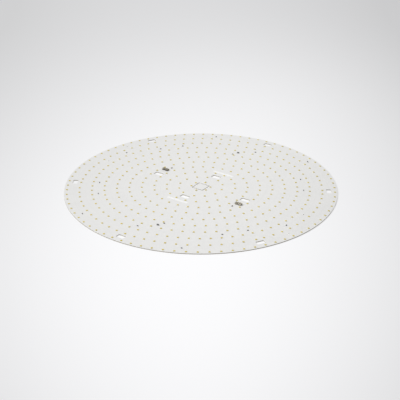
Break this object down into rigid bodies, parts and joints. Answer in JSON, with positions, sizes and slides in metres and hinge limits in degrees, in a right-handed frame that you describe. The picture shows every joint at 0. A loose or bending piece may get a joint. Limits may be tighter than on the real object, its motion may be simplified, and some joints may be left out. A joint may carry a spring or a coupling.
{
  "type": "round led module",
  "caption": "Thin round white circuit board with rings of small LED packages, slots near the rim and centre for holders and wires, and push-in wire terminals.",
  "frame": {"origin": "centre of the board's underside, at the centre of the box's bottom", "axes": "+Z out of the lit face, along the board's thickness; +X through two of the rim slots and the two side wire slots"},
  "size_m": [0.5499, 0.55, 0.0054],
  "materials": {
    "solder_mask": "white solder mask on a glass-fibre board, slightly satin, tan at the cut edge",
    "led_package": "white package with a yellow phosphor window",
    "cage_metal": "tin-plated copper alloy, dull and warm",
    "leaf_steel": "dark spring steel",
    "part_black": "black moulded bodies with tinned ends",
    "part_grey": "grey-brown ceramic with tinned ends",
    "label_white": "plain white film label, blank"
  },
  "bodies": {
    "root": {"board": "solder_mask", "led_ring_01": "led_package", "led_ring_02": "led_package", "led_ring_03": "led_package", "led_ring_04": "led_package", "led_ring_05": "led_package", "led_ring_06": "led_package", "led_ring_07": "led_package", "led_ring_08": "led_package", "led_ring_09": "led_package", "led_ring_10": "led_package", "led_ring_11": "led_package", "terminal_cage_a1": "cage_metal", "terminal_leaf_a1": "leaf_steel", "terminal_cage_a2": "cage_metal", "terminal_leaf_a2": "leaf_steel", "terminal_cage_a3": "cage_metal", "terminal_leaf_a3": "leaf_steel", "terminal_cage_a4": "cage_metal", "terminal_leaf_a4": "leaf_steel", "terminal_cage_b1": "cage_metal", "terminal_leaf_b1": "leaf_steel", "terminal_cage_b2": "cage_metal", "terminal_leaf_b2": "leaf_steel", "terminal_cage_b3": "cage_metal", "terminal_leaf_b3": "leaf_steel", "terminal_cage_b4": "cage_metal", "terminal_leaf_b4": "leaf_steel", "label_a": "label_white", "label_b": "label_white", "bypass_diodes": "part_black", "rim_diodes": "part_black", "string_diodes": "part_black", "surge_suppressors": "part_black", "input_capacitors": "part_grey", "resistors": "part_black"}
  },
  "joints": []
}
